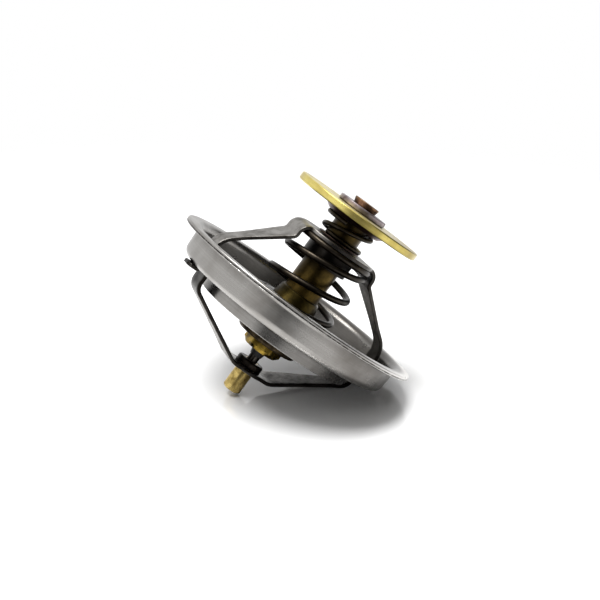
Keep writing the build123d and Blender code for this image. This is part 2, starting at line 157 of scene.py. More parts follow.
# Glossy white acrylic sheet: it mirrors the object softly, fades into the sky and is clear from below
def floorMaterial():
    material, tree, shader = newMaterial("whiteAcrylicSheet")
    shader.inputs["Base Color"].default_value = linearColour(stageValues["floorColour"])
    shader.inputs["Roughness"].default_value = stageValues["floorRoughness"]
    shader.inputs["Emission Color"].default_value = (1, 1, 1, 1)
    shader.inputs["Emission Strength"].default_value = stageValues["floorGlow"]
    place = addNode(tree, "ShaderNodeTexCoord").outputs["Object"]
    reach = addNode(tree, "ShaderNodeVectorMath", {0: place}, operation="LENGTH")
    fade = addNode(tree, "ShaderNodeMapRange", {
        "Value": reach.outputs["Value"],
        "From Min": stageValues["floorRadius"] * stageValues["floorFade"][0],
        "From Max": stageValues["floorRadius"] * stageValues["floorFade"][1],
    })
    below = addNode(tree, "ShaderNodeNewGeometry").outputs["Backfacing"]
    hidden = addNode(tree, "ShaderNodeMath", {0: fade.outputs["Result"], 1: below}, operation="MAXIMUM")
    clear = addNode(tree, "ShaderNodeBsdfTransparent")
    mix = addNode(tree, "ShaderNodeMixShader", {
        0: hidden.outputs[0], 1: shader.outputs[0], 2: clear.outputs[0],
    })
    tree.links.new(mix.outputs[0], tree.nodes["Material Output"].inputs["Surface"])
    return material


# Matt black card, which gives the metal its dark streaks
def cardMaterial():
    material, _, shader = newMaterial("blackCard")
    shader.inputs["Base Color"].default_value = linearColour(stageValues["cardColour"])
    shader.inputs["Roughness"].default_value = stageValues["cardRoughness"]
    return material


def placeCards(footing, normal, cameraBack, cameraRight):
    black = cardMaterial()
    for name, way, width, distance, mirrored in stageCards:
        out = (cameraBack * way[0] + cameraRight * way[1]).normalized()
        out = (out - normal * out.dot(normal)).normalized()
        middle = footing + normal * stageValues["cardHeight"] + out * distance
        side = normal.cross(-out).normalized() * (width / 2)
        rise = (-out).cross(side).normalized() * (stageValues["cardTall"] / 2)
        corners = [middle + side * a + rise * b for a, b in ((-1, -1), (1, -1), (1, 1), (-1, 1))]
        card = plainObject(name, corners, [(0, 1, 2, 3)])
        card.data.materials.append(black)
        card.visible_camera = False
        card.visible_glossy = mirrored


def placeFloor(footing, normal):
    across = normal.cross(Vector((0, 1, 0))).normalized()
    along = normal.cross(across)
    sides = stageValues["floorSides"]
    angles = [2 * math.pi * step / sides for step in range(sides)]
    rim = [
        footing + (across * math.cos(a) + along * math.sin(a)) * stageValues["floorRadius"] for a in angles
    ]
    floor = plainObject("floor", rim, [tuple(range(sides))])
    if floor.data.polygons[0].normal.dot(normal) < 0:
        floor.data.flip_normals()
    floor.data.materials.append(floorMaterial())


def placeLight(footing, normal, cameraBack, cameraRight):
    world = bpy.data.worlds.new("whiteTent")
    bpy.context.scene.world = world
    world.use_nodes = True
    sky = world.node_tree.nodes["Background"]
    sky.inputs["Color"].default_value = (1, 1, 1, 1)
    sky.inputs["Strength"].default_value = stageValues["skyStrength"]

    lamp = bpy.data.lights.new("softboxAbove", "AREA")
    lamp.shape = "DISK"
    lamp.size = stageValues["softboxSize"]
    lamp.energy = stageValues["softboxWatts"]
    softbox = bpy.data.objects.new("softboxAbove", lamp)
    bpy.context.collection.objects.link(softbox)
    way = stageValues["softboxWay"]
    out = cameraBack * way[0] + cameraRight * way[1]
    out = out - normal * out.dot(normal)
    softbox.location = footing + normal * stageValues["softboxHeight"] + out
    softbox.rotation_euler = (-softbox.location).to_track_quat("-Z", "Y").to_euler()
    bpy.context.scene.view_settings.view_transform = "Standard"
    bpy.context.scene.view_settings.look = "None"


def placeStage():
    cameraBack, cameraRight = placeCamera()
    normal = Vector(stageValues["floorNormal"]).normalized()
    footing = normal * (stageValues["floorHeight"] * mm)
    placeFloor(footing, normal)
    placeCards(footing, normal, cameraBack, cameraRight)
    placeLight(footing, normal, cameraBack, cameraRight)


placeStage()
print("camera and stage placed")


# Points of a line through corners (x, z, bend radius), with an arc at each bend
def bentLine(corners, closed=False, arcStep=11.25, longest=None):
    points = []
    count = len(corners)
    for index, (x, z, radius) in enumerate(corners):
        corner = Vector((x, z))
        if radius <= 0 or (not closed and index in (0, count - 1)):
            points.append(corner)
            continue
        toBefore = (Vector(corners[index - 1][:2]) - corner).normalized()
        toAfter = (Vector(corners[(index + 1) % count][:2]) - corner).normalized()
        turn = math.pi - toBefore.angle(toAfter)
        if turn < straight:
            points.append(corner)
            continue
        reach = radius * math.tan(turn / 2)
        middle = corner + (toBefore + toAfter).normalized() * (radius / math.cos(turn / 2))
        first = corner + toBefore * reach - middle
        last = corner + toAfter * reach - middle
        steps = max(2, math.ceil(math.degrees(turn) / arcStep))
        for step in range(steps + 1):
            share = step / steps
            spoke = first * math.sin((1 - share) * turn) + last * math.sin(share * turn)
            points.append(middle + spoke / math.sin(turn))
    if longest is None:
        return points
    divided = [points[0]]
    for start, end in zip(points, points[1:]):
        pieces = max(1, math.ceil((end - start).length / longest))
        divided += [start.lerp(end, k / pieces) for k in range(1, pieces + 1)]
    return divided


# The corners of a line moved sideways, each with its bend radius grown or shrunk to match
def movedLine(corners, distance):
    moved = []
    for index, (x, z, radius) in enumerate(corners):
        here = Vector((x, z))
        ways = []
        if index > 0:
            ways.append((here - Vector(corners[index - 1][:2])).normalized())
        if index < len(corners) - 1:
            ways.append((Vector(corners[index + 1][:2]) - here).normalized())
        sides = [Vector((-way.y, way.x)) for way in ways]
        across = (sides[0] + sides[-1]).normalized()
        place = here + across * (distance / across.dot(sides[0]))
        grown = radius
        if radius > 0:
            turnsLeft = ways[0].x * ways[-1].y - ways[0].y * ways[-1].x > 0
            grown = radius - distance if turnsLeft else radius + distance
        moved.append((place.x, place.y, grown))
    return moved


# The loop round a sheet whose middle is given, with the rounding of its four end corners
def sheetLoop(corners, thickness, startRounds, endRounds):
    left = movedLine(corners, thickness / 2)
    right = movedLine(corners, -thickness / 2)
    left[0] = (*left[0][:2], startRounds[0])
    right[0] = (*right[0][:2], startRounds[1])
    left[-1] = (*left[-1][:2], endRounds[0])
    right[-1] = (*right[-1][:2], endRounds[1])
    return left + right[::-1]


# A profile turned round the axis; clip may hold a radius back by radius, height and angle
def latheMesh(name, corners, segments=192, closed=True, start=0.0, arcStep=22.5, clip=None):
    profile = bentLine(corners, closed, arcStep)
    work = bmesh.new()
    rings = []
    for point in profile:
        if point.x < onAxis:
            rings.append([work.verts.new((0, 0, point.y * mm))])
            continue
        ring = []
        for step in range(segments):
            angle = start + 2 * math.pi * step / segments
            radius = clip(point.x, point.y, angle) if clip else point.x
            across = (radius * math.cos(angle) * mm, radius * math.sin(angle) * mm)
            ring.append(work.verts.new((*across, point.y * mm)))
        rings.append(ring)
    pairs = list(zip(rings, rings[1:]))
    if closed:
        pairs.append((rings[-1], rings[0]))
    for low, high in pairs:
        if len(low) == 1 and len(high) == 1:
            continue
        for step in range(segments):
            after = (step + 1) % segments
            face = [low[step % len(low)], low[after % len(low)]]
            face += [high[after % len(high)], high[step % len(high)]]
            work.faces.new(list(dict.fromkeys(face)))
    bmesh.ops.remove_doubles(work, verts=work.verts, dist=weldDistance)
    return finishedMesh(name, work)


def finishedMesh(name, work):
    bmesh.ops.recalc_face_normals(work, faces=work.faces)
    mesh = bpy.data.meshes.new(name)
    work.to_mesh(mesh)
    work.free()
    return mesh


# The modifiers are worked into a plain mesh and go
def applyModifiers(piece):
    graph = bpy.context.evaluated_depsgraph_get()
    plain = bpy.data.meshes.new_from_object(piece.evaluated_get(graph))
    piece.modifiers.clear()
    piece.data = plain
    plain.name = piece.name


# The finished piece: smooth between sharp edges, riding on its body in place of its node
def finishPiece(name, mesh, material, node, modifiers=(), sharpAngle=38):
    piece = bpy.data.objects.new(name, mesh)
    bpy.context.collection.objects.link(piece)
    for kind, values in modifiers:
        modifier = piece.modifiers.new(kind.lower(), kind)
        for key, value in values.items():
            setattr(modifier, key, value)
    if modifiers:
        applyModifiers(piece)
    piece.data.materials.clear()
    piece.data.materials.append(material)
    for polygon in piece.data.polygons:
        polygon.material_index = 0
        polygon.use_smooth = True
    piece.data.set_sharp_from_angle(angle=math.radians(sharpAngle))
    weighted = piece.modifiers.new("weighted", "WEIGHTED_NORMAL")
    weighted.keep_sharp = True
    applyModifiers(piece)
    body = next(body for body, nodes in frame["record"]["behaviour"]["bodies"].items() if node in nodes)
    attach(piece, body)
    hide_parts(node)
    return piece


# The part of a vector that lies across the axis
def acrossAxis(tree, vector):
    return addNode(tree, "ShaderNodeVectorMath", {0: vector, 1: (1, 1, 0)}, operation="MULTIPLY").outputs[0]


# Distance from the axis and height, so that a noise on it makes rings as a lathe or a press tool does
def ringCoordinates(tree, place):
    radius = addNode(tree, "ShaderNodeVectorMath", {0: acrossAxis(tree, place)}, operation="LENGTH")
    height = addNode(tree, "ShaderNodeSeparateXYZ", {0: place}).outputs["Z"]
    return addNode(tree, "ShaderNodeCombineXYZ", {"X": radius.outputs["Value"], "Z": height}).outputs[0]


# A noise whose patches are that many millimetres across
def patchNoise(tree, place, size, detail=3.0, rough=0.6):
    noise = addNode(tree, "ShaderNodeTexNoise", {
        "Vector": place, "Scale": 1 / (size * mm), "Detail": detail, "Roughness": rough,
    })
    return noise.outputs["Fac"]


def mappedRange(tree, value, low, high, toLow=0.0, toHigh=1.0):
    node = addNode(tree, "ShaderNodeMapRange", {
        "Value": value, "From Min": low, "From Max": high, "To Min": toLow, "To Max": toHigh,
    })
    return node.outputs["Result"]


# Sockets 6 and 7 take the two colours and socket 2 gives the mixed one
def mixedColour(tree, share, first, second):
    node = addNode(tree, "ShaderNodeMix", {"Factor": share}, data_type="RGBA")
    for socket, colour in ((node.inputs[6], first), (node.inputs[7], second)):
        if isinstance(colour, bpy.types.NodeSocket):
            tree.links.new(colour, socket)
        else:
            socket.default_value = linearColour(colour)
    return node.outputs[2]


def product(tree, *factors):
    result = factors[0]
    for factor in factors[1:]:
        result = addNode(tree, "ShaderNodeMath", {0: result, 1: factor}, operation="MULTIPLY").outputs[0]
    return result


def dotProduct(tree, first, second):
    node = addNode(tree, "ShaderNodeVectorMath", {0: first, 1: second}, operation="DOT_PRODUCT")
    return node.outputs["Value"]


# Where each layer of a metal begins and is full: on a noise from 0 to 1, or on what its comment says
layerRange = {
    "spotShare": 1 / 7,           # size of the small spots against the patches
    "specks": (0.62, 0.74),
    "rings": (0.3, 0.7),
    "uneven": (0.3, 0.6),         # patches in which a zone is a little weaker
    "unevenness": 0.8,
    "inside": (-0.1, -0.5),       # a face's normal against the way out from the axis
    "sheared": (0.55, 0.85),      # how far a face looks sideways
    "torn": (0.42, 0.52),
    "tornSize": 0.7,              # mm
    "edge": (0.99, 0.80),         # a face's normal against the softened one beside an edge
    "rubbed": (0.30, 0.55),
    "rubbedAmount": (0.4, 1.0),
    "open": (0.25, 0.9),          # how much of the sky a place sees
    "grime": (0.85, 0.2),         # the same
    "dull": (0.3, 0.7),
    "spotDull": (0.35, 0.7),
    "spotDullness": (-0.02, 0.03),
    "bloom": (0.35, 0.75),
    "bloomDull": (0.3, 0.7),
}
# What a metal has unless it says otherwise; depths and reaches are in millimetres
usualMetal = {
    "specks": 0.3, "ringShade": 0.15, "dentDepth": 0.02, "grimeAndShadeReach": 1.6,
    "tarnishFrom": (0.38, 0.66), "lines": 0.4, "lineDepth": 0.006, "grain": 0.22, "grainDepth": 0.006,
    "wear": 0.6, "wearReach": 0.22, "grime": 0.6,
}
edgeSamples = 6
# Colour of grime and painted shade in deep places
grimeColour = "#14110D"
tornColour = "#24221F"


# Dark and bright stretches: zones of painted shade and painted highlight by place, painted shade on faces
# turned inwards, sheared sides, a blanked rim's torn half
def zonedColour(tree, values, colour, coordinates, rings, patches):
    place = coordinates["Object"]
    alongRings = addNode(tree, "ShaderNodeSeparateXYZ", {0: rings}).outputs
    length = addNode(tree, "ShaderNodeSeparateXYZ", {0: place}).outputs["X"]
    along = {"radius": alongRings["X"], "height": alongRings["Z"], "length": length}
    # each zone paints shade, in one case a highlight, on one stretch of a piece
    for ranges, zoneColour, amount in values.get("paintedLightZones", ()):
        weakest = amount * layerRange["unevenness"]
        zone = mappedRange(tree, patches, *layerRange["uneven"], weakest, amount)
        for axis, fromWhere, toWhere in ranges:
            zone = product(tree, zone, mappedRange(tree, along[axis], fromWhere * mm, toWhere * mm))
        colour = mixedColour(tree, zone, colour, zoneColour)
    # faces turned towards the axis get painted shade
    if "inside" in values:
        insideColour, amount = values["inside"]
        outward = addNode(tree, "ShaderNodeVectorMath", {0: acrossAxis(tree, place)}, operation="NORMALIZE")
        facing = dotProduct(tree, coordinates["Normal"], outward.outputs[0])
        share = mappedRange(tree, facing, *layerRange["inside"], 0.0, amount)
        colour = mixedColour(tree, share, colour, insideColour)
    if "sheared" in values:
        shearedColour, amount = values["sheared"]
        sideways = addNode(tree, "ShaderNodeSeparateXYZ", {0: coordinates["Normal"]}).outputs["Y"]
        sideways = addNode(tree, "ShaderNodeMath", {0: sideways}, operation="ABSOLUTE").outputs[0]
        share = mappedRange(tree, sideways, *layerRange["sheared"], 0.0, amount)
        colour = mixedColour(tree, share, colour, shearedColour)
    if "tornRim" in values:
        rim = values["tornRim"]
        dots = patchNoise(tree, place, layerRange["tornSize"], detail=2.0)
        share = product(
            tree,
            mappedRange(tree, along["radius"], rim["radius"] * mm, rim["full"] * mm),
            mappedRange(tree, along["height"], rim["from"] * mm, (rim["from"] + rim["fade"]) * mm),
            mappedRange(tree, along["height"], rim["to"] * mm, (rim["to"] - rim["fade"]) * mm),
            mappedRange(tree, dots, *layerRange["torn"], *rim["amount"]),
        )
        colour = mixedColour(tree, share, colour, tornColour)
    return colour


# Edges rubbed bright where they stand free, and grime with painted shade where a place lies deep
def wornColour(tree, values, colour, spots):
    geometry = addNode(tree, "ShaderNodeNewGeometry")
    softened = addNode(tree, "ShaderNodeBevel", {"Radius": values["wearReach"] * mm}, samples=edgeSamples)
    flush = dotProduct(tree, softened.outputs[0], geometry.outputs["Normal"])
    nearby = addNode(tree, "ShaderNodeAmbientOcclusion", {"Distance": values["grimeAndShadeReach"] * mm},
                     samples=edgeSamples)
    openness = nearby.outputs["AO"]
    worn = product(
        tree,
        mappedRange(tree, flush, *layerRange["edge"]),
        mappedRange(tree, spots, *layerRange["rubbed"], *layerRange["rubbedAmount"]),
        mappedRange(tree, openness, *layerRange["open"]),
        values["wear"],
    )
    colour = mixedColour(tree, worn, colour, values["worn"])
    # grime and painted shade where ambient occlusion finds a place deep
    grime = mappedRange(tree, openness, *layerRange["grime"], 0.0, values["grime"])
    return mixedColour(tree, grime, colour, grimeColour)


# Metal: clean and tarnished patches, rings from turning, scratches, zones of painted shade and highlight,
# bright rubbed edges and dark corners of grime and painted shade
def metalFinish(name, values):
    values = {**usualMetal, **values}
    material, tree, shader = newMaterial(name)
    shader.inputs["Metallic"].default_value = 1.0
    coordinates = addNode(tree, "ShaderNodeTexCoord").outputs
    place = coordinates["Object"]
    rings = ringCoordinates(tree, place)
    patches = patchNoise(tree, place, values["patch"], detail=4.0)
    spots = patchNoise(tree, place, values["patch"] * layerRange["spotShare"], detail=2.0)
    lines = patchNoise(tree, rings, values["lines"], rough=0.7)
    grain = patchNoise(tree, place, values["grain"], detail=2.0)

    colour = mixedColour(
        tree, mappedRange(tree, patches, *values["tarnishFrom"]), values["clean"], values["tarnish"]
    )
    speck = mappedRange(tree, spots, *layerRange["specks"], 0.0, values["specks"])
    colour = mixedColour(tree, speck, colour, values["tarnish"])
    ringShade = mappedRange(tree, lines, *layerRange["rings"], 0.0, values["ringShade"])
    colour = mixedColour(tree, ringShade, colour, values["tarnish"])
    colour = zonedColour(tree, values, colour, coordinates, rings, patches)
    colour = wornColour(tree, values, colour, spots)
    tree.links.new(colour, shader.inputs["Base Color"])

    roughness = mappedRange(tree, patches, *layerRange["dull"], *values["roughness"])
    spotDull = mappedRange(tree, spots, *layerRange["spotDull"], *layerRange["spotDullness"])
    roughness = addNode(tree, "ShaderNodeMath", {0: roughness, 1: spotDull}, operation="ADD").outputs[0]
    tree.links.new(roughness, shader.inputs["Roughness"])

    bump = addNode(tree, "ShaderNodeBump", {
        "Height": grain, "Distance": values["grainDepth"] * mm, "Strength": 1.0,
    })
    for height, depth in ((lines, values["lineDepth"]), (patches, values["dentDepth"])):
        bump = addNode(tree, "ShaderNodeBump", {
            "Height": height, "Distance": depth * mm, "Strength": 1.0, "Normal": bump.outputs[0],
        })
    tree.links.new(bump.outputs[0], shader.inputs["Normal"])
    return material


# Moulded rubber: black, matt, with a faint bloom
def rubberFinish(name, values):
    material, tree, shader = newMaterial(name)
    place = addNode(tree, "ShaderNodeTexCoord").outputs["Object"]
    bloom = patchNoise(tree, place, values["patch"])
    share = mappedRange(tree, bloom, *layerRange["bloom"])
    colour = mixedColour(tree, share, values["dark"], values["bloom"])
    tree.links.new(colour, shader.inputs["Base Color"])
    roughness = mappedRange(tree, bloom, *layerRange["bloomDull"], *values["roughness"])
    tree.links.new(roughness, shader.inputs["Roughness"])
    grain = addNode(tree, "ShaderNodeBump", {
        "Height": patchNoise(tree, place, values["grain"], detail=2.0), "Distance": values["grainDepth"] * mm,
    })
    tree.links.new(grain.outputs[0], shader.inputs["Normal"])
    return material


# Drawn stainless sheet, satin: soft grey with faint rings from the press tool, painted shade in the cup, on
# the right of the wall and on the throat, bright rubbed edges, a painted highlight on one side of the lip,
# and a dark torn line round the rim
flangeStainless = metalFinish("drawnStainless", {
    "clean": "#A9A7A4", "tarnish": "#7C7873", "worn": "#F2F0EC", "tarnishFrom": (0.42, 0.75),
    "patch": 14.0, "lines": 0.30, "lineDepth": 0.004, "grain": 0.35, "grainDepth": 0.001,
    "dentDepth": 0.01, "roughness": (0.25, 0.36), "wear": 0.7, "wearReach": 0.30, "grime": 0.9,
    # painted shade on the faces turned in, and grime with painted shade reaching far under the lip
    "ringShade": 0.5, "specks": 0.0, "inside": ("#4A4743", 0.4), "grimeAndShadeReach": 3.2,
    # painted shade on the right of the wall and on the throat, and a painted highlight on one side of the lip
    "paintedLightZones": [
        ([("length", -14.0, 10.0), ("radius", 28.8, 29.2)], "#47433F", 0.80),
        ([("length", -14.0, 4.0), ("height", -6.5, -7.2)], "#2E2B28", 0.80),
        ([("length", 2.0, 24.0), ("radius", 30.8, 32.4)], "#EDEBE7", 0.85),
    ],
    "tornRim": {
        "radius": 33.25, "full": 33.35, "from": 0.12, "to": 0.50, "fade": 0.06,
        "amount": (0.55, 0.95),
    },
})
# Pressed steel strip, pickled: darker grey and scuffed, its sheared sides dark between bright edges, with
# painted shade on its faces turned in, round its bore and on its feet under the shoulder
cageSteel = metalFinish("pressedStripSteel", {
    "clean": "#8F8C88", "tarnish": "#4C4843", "worn": "#D2CFC9", "tarnishFrom": (0.42, 0.70),
    "patch": 3.5, "lines": 2.5, "lineDepth": 0.004, "grain": 0.30, "grainDepth": 0.012,
    "roughness": (0.28, 0.42), "grime": 0.85, "specks": 0.5,
    # painted shade round the bore under the plate, on the feet under the shoulder and on the faces turned in
    "paintedLightZones": [([("radius", 10.5, 7.0)], "#1B1814", 0.95), ([("height", -5.2, -6.4)], "#15130F", 0.95)],
    "inside": ("#24211D", 0.85), "sheared": ("#1E1B18", 0.85),
})
# The same strip, more stained and scuffed, with painted shade where the legs stand in the flange
bridgeSteel = metalFinish("pressedBridgeSteel", {
    "clean": "#85827D", "tarnish": "#403C36", "worn": "#D8D5CF", "tarnishFrom": (0.40, 0.66),
    "patch": 2.8, "lines": 2.5, "lineDepth": 0.004, "grain": 0.30, "grainDepth": 0.014,
    "roughness": (0.28, 0.44), "grime": 0.85, "specks": 0.6,
    # painted shade where the legs stand in the flange
    "paintedLightZones": [([("radius", 21.5, 23.5)], "#1A1815", 0.9)], "sheared": ("#1A1714", 0.9),
})
# Plate steel painted dark for the shade of the cup, with faint rings, pale where an edge is rubbed
valveSteel = metalFinish("valvePlateSteel", {
    "clean": "#3F3C39", "tarnish": "#211F1C", "worn": "#9C9993", "tarnishFrom": (0.40, 0.70),
    "patch": 5.0, "lines": 0.8, "lineDepth": 0.010, "grain": 0.30, "roughness": (0.28, 0.42),
    "wear": 0.5, "wearReach": 0.30, "grime": 0.7,
})
# Oil-tempered spring wire: nearly black oxide with a brown cast and clear highlights
springWire = metalFinish("oilTemperedWire", {
    "clean": "#37322B", "tarnish": "#1C1814", "worn": "#86775A", "tarnishFrom": (0.40, 0.70),
    "patch": 2.5, "lines": 3.0, "lineDepth": 0.004, "roughness": (0.28, 0.42), "wear": 0.3,
    "wearReach": 0.25, "grime": 0.5, "specks": 0.6,
})
# Small steel pieces, from black oxide to bare grey
blackSteel = metalFinish("blackenedSteel", {
    "clean": "#332E29", "tarnish": "#1A1714", "worn": "#7E7668", "tarnishFrom": (0.40, 0.70),
    "patch": 1.6, "grain": 0.2, "grainDepth": 0.008, "roughness": (0.34, 0.5), "wear": 0.45,
})
pistonSteel = metalFinish("groundPistonSteel", {
    "clean": "#4C4843", "tarnish": "#23201C", "worn": "#A8A49C", "tarnishFrom": (0.38, 0.62),
    "patch": 1.2, "lines": 0.25, "lineDepth": 0.004, "grain": 0.15, "grainDepth": 0.003,
    "roughness": (0.2, 0.34), "wear": 0.4, "wearReach": 0.18,
})
washerSteel = metalFinish("stopWasherSteel", {
    "clean": "#A89FA1", "tarnish": "#685B5E", "worn": "#DAD4D2", "tarnishFrom": (0.38, 0.68),
    "patch": 2.2, "lines": 0.5, "roughness": (0.3, 0.44), "wearReach": 0.2,
})
seatSteel = metalFinish("springSeatSteel", {
    "clean": "#574842", "tarnish": "#2E2622", "worn": "#A08D7D", "tarnishFrom": (0.38, 0.68),
    "patch": 1.8, "lineDepth": 0.004, "grain": 0.2, "roughness": (0.32, 0.46), "wear": 0.4,
    "wearReach": 0.18,
})
# Turned brass, aged in hot coolant: olive brown, painted shade nearly black above, yellow metal where it is
# rubbed
capsuleBrass = metalFinish("agedCapsuleBrass", {
    "clean": "#75602F", "tarnish": "#3A2F16", "worn": "#C4A860", "patch": 5.0, "lines": 0.6,
    "grain": 0.25, "grainDepth": 0.004, "roughness": (0.26, 0.42), "wear": 0.5, "wearReach": 0.2,
    # painted shade: nearly black from 3 mm up, where the spring and the cage close round it
    "grime": 0.8, "ringShade": 0.3, "paintedLightZones": [([("height", 3.0, 10.0)], "#1A150D", 0.85)],
})
# Turned brass that kept its yellow, with olive stains
guideBrass = metalFinish("turnedGuideBrass", {
    "clean": "#A88C3C", "tarnish": "#4E3F18", "worn": "#E8D696", "tarnishFrom": (0.36, 0.64),
    "patch": 2.6, "lines": 0.5, "roughness": (0.24, 0.4), "grime": 0.75,
})
# The same brass, painted nearly brown for the shade of the spring
retainerBrass = metalFinish("turnedRetainerBrass", {
    "clean": "#453A1A", "tarnish": "#262010", "worn": "#BFA662", "tarnishFrom": (0.4, 0.66),
    "patch": 2.4, "lines": 0.45, "grainDepth": 0.004, "roughness": (0.30, 0.42), "wear": 0.5,
    "wearReach": 0.2, "grime": 0.8, "specks": 0.1,
})
# Pale yellow brass, the cleanest of all
pinBrass = metalFinish("turnedPinBrass", {
    "clean": "#DBC27A", "tarnish": "#6E5828", "worn": "#F8EBB8", "patch": 2.0, "lineDepth": 0.008,
    "grainDepth": 0.008, "roughness": (0.24, 0.40), "wear": 0.65, "wearReach": 0.24, "ringShade": 0.3,
})
# Crimped brass gone dark brown
collarBrass = metalFinish("crimpedCollarBrass", {
    "clean": "#453B2C", "tarnish": "#211B13", "worn": "#8F7846", "patch": 2.0, "lines": 0.5,
    "roughness": (0.34, 0.5), "wear": 0.4,
})
# Pressed bronze, reddish brown, darkened by painted shade under the disc
dishBronze = metalFinish("pressedDishBronze", {
    "clean": "#5D4440", "tarnish": "#302321", "worn": "#A98469", "patch": 2.4, "lines": 0.6,
    "lineDepth": 0.008, "grain": 0.25, "roughness": (0.3, 0.46), "wear": 0.45, "wearReach": 0.2,
})
# Copper coloured end, hammered and stained
rivetCopper = metalFinish("rivetedCopper", {
    "clean": "#8C6C50", "tarnish": "#4A382B", "worn": "#CBA582", "patch": 1.8, "grain": 0.2,
    "grainDepth": 0.01, "roughness": (0.3, 0.46), "wear": 0.5, "wearReach": 0.2,
})
# Bright turned brass, greenish yellow with fine rings that catch the light, with a painted dark reflection on
# one side
discBrass = metalFinish("brightDiscBrass", {
    "clean": "#EBDB82", "tarnish": "#A08C48", "worn": "#FBF2BE", "tarnishFrom": (0.45, 0.8),
    "patch": 6.0, "lines": 0.35, "lineDepth": 0.010, "grain": 0.2, "grainDepth": 0.003,
    "roughness": (0.24, 0.38), "wearReach": 0.25, "ringShade": 0.6,
    # painted dark reflection on one side of the rim
    "paintedLightZones": [([("length", -4.0, 9.0)], "#7E6C32", 0.65)],
})
# Black rubber, and wax filled with copper powder
sealRubber = rubberFinish("mouldedSealRubber", {
    "dark": "#141312", "bloom": "#2A2724", "patch": 3.0, "grain": 0.2, "grainDepth": 0.01,
    "roughness": (0.5, 0.7),
})
bootRubber = rubberFinish("mouldedBootRubber", {
    "dark": "#121111", "bloom": "#242220", "patch": 2.0, "grain": 0.15, "grainDepth": 0.01,
    "roughness": (0.5, 0.7),
})
copperWax = rubberFinish("copperFilledWax", {
    "dark": "#A0764E", "bloom": "#C9A074", "patch": 1.0, "grain": 0.12, "grainDepth": 0.01,
    "roughness": (0.4, 0.6),
})
print("finishes made")


# Flange: lip, cup, shoulder and throat in one sheet, with a pair of slots on each side
flangeShape = {
    "sheet": 1.0,
    "middle": [                      # middle of the sheet from the lip in: radius, height, bend
        (33.5, 0.5, 0), (29.4, 0.5, 1.5), (29.1, -6.4, 1.5), (20.9, -6.4, 0.9), (20.9, -10.4, 0),
    ],
    "lipRounds": (0.12, 0.32),       # under and over, the lip is blanked from above
    "throatRounds": (0.15, 0.15),
    "tearRings": (0.58, 0.4, 0.2),   # heights of the rings that the torn part of the edge is made of
    "tearBand": (0.05, 0.6),         # heights between which the edge is rough
    "tearWithin": 0.2,               # of the lip's outer radius
    "tearDepth": 0.05,
    "tearSeed": 7,
    "slots": [(26.1, 27.45, 5.2), (23.8, 25.25, 6.4)],    # from, to and width, on both sides
    "segments": 288,
}


def slotCutter(side, slotFrom, slotTo, width):
    sheet, floorHeight = flangeShape["sheet"], flangeShape["middle"][3][1]
    middle = side * (slotFrom + slotTo) / 2
    half = ((slotTo - slotFrom) / 2, width / 2, sheet * 2)
    corners = [
        ((middle + a * half[0]) * mm, b * half[1] * mm, (floorHeight + c * half[2]) * mm)
        for a in (-1, 1) for b in (-1, 1) for c in (-1, 1)
    ]
    return plainObject("slotCutter", corners, [
        (0, 1, 3, 2), (4, 6, 7, 5), (0, 4, 5, 1), (2, 3, 7, 6), (0, 2, 6, 4), (1, 5, 7, 3),
    ])


def makeFlange():
    shape = flangeShape
    lipRadius, segments = shape["middle"][0][0], shape["segments"]
    loop = sheetLoop(shape["middle"], shape["sheet"], shape["lipRounds"], shape["throatRounds"])
    loop += [(lipRadius, height, 0) for height in shape["tearRings"]]
    draw = random.Random(shape["tearSeed"])
    torn = [draw.random() for _ in range(segments)]

    def tear(radius, height, angle):
        low, high = shape["tearBand"]
        if radius > lipRadius - shape["tearWithin"] and low < height < high:
            return radius - shape["tearDepth"] * torn[round(angle / (2 * math.pi) * segments) % segments]
        return radius

    mesh = latheMesh("flangeCup", loop, segments, arcStep=15, clip=tear)
    cutters = [slotCutter(side, *slot) for slot in shape["slots"] for side in (-1, 1)]
    cuts = [
        ("BOOLEAN", {"object": cutter, "operation": "DIFFERENCE", "solver": "EXACT"}) for cutter in cutters
    ]
    finishPiece("flangeCup", mesh, flangeStainless, "flange", cuts)
    for cutter in cutters:
        bpy.data.objects.remove(cutter)


makeFlange()
print("flange made")


# Pressed straps, the spring cage and the bridge: a round plate with a drawn bore and two bent arms
cageShape = {
    "sheet": 0.9,
    "middle": [                  # middle of the sheet from the axis out: distance, height, bend
        (0, 16.45, 0), (11.95, 16.45, 2.55), (11.95, 12.75, 1.6), (26.65, 1.6, 5.6), (26.65, -7.35, 0.75),
        (29.8, -7.35, 0),
    ],
    "plateRadius": 10.6,
    "root": 8.6,                  # where the plate ends and the arm's own grid begins
    "widths": [(12.85, 8.2), (21.5, 4.7), (26.65, 5.0), (29.8, 5.0)],    # distance and full width
    "tabCorner": 1.2,
    "plateFillet": 1.4,
    "collar": [(5.9, 10.4, 0), (5.9, 16.45, 0.9), (8.0, 16.45, 0)],
    "edgeRound": 0.16,
}
bridgeShape = {
    "sheet": 1.0,
    "middle": [
        (0, -21.3, 0), (5.6, -21.3, 5.0), (24.4, -11.2, 3.0), (24.4, -5.4, 0.8), (25.95, -5.4, 0),
    ],
    "plateRadius": 5.4,
    "root": 4.3,
    "widths": [(5.6, 9.4), (19.0, 6.2), (25.95, 6.2)],
    "tabCorner": 0,
    "plateFillet": 1.0,
    "collar": [(1.95, -21.3, 0), (2.3, -21.3, 0)],
    "edgeRound": 0.30,
}


# How finely both are made: rows across an arm, steps round the plate and from bore to outline, degrees and
# millimetres for one step of a bend or a straight
strapMake = {
    "rows": 9, "sideSteps": 28, "spread": 4,
    "armBend": 9, "armStep": 0.8, "collarBend": 15, "collarStep": 1.2,
    "rootGap": 0.05, "weld": 2e-6, "edgeSteps": 3, "sharperThan": 50,
}


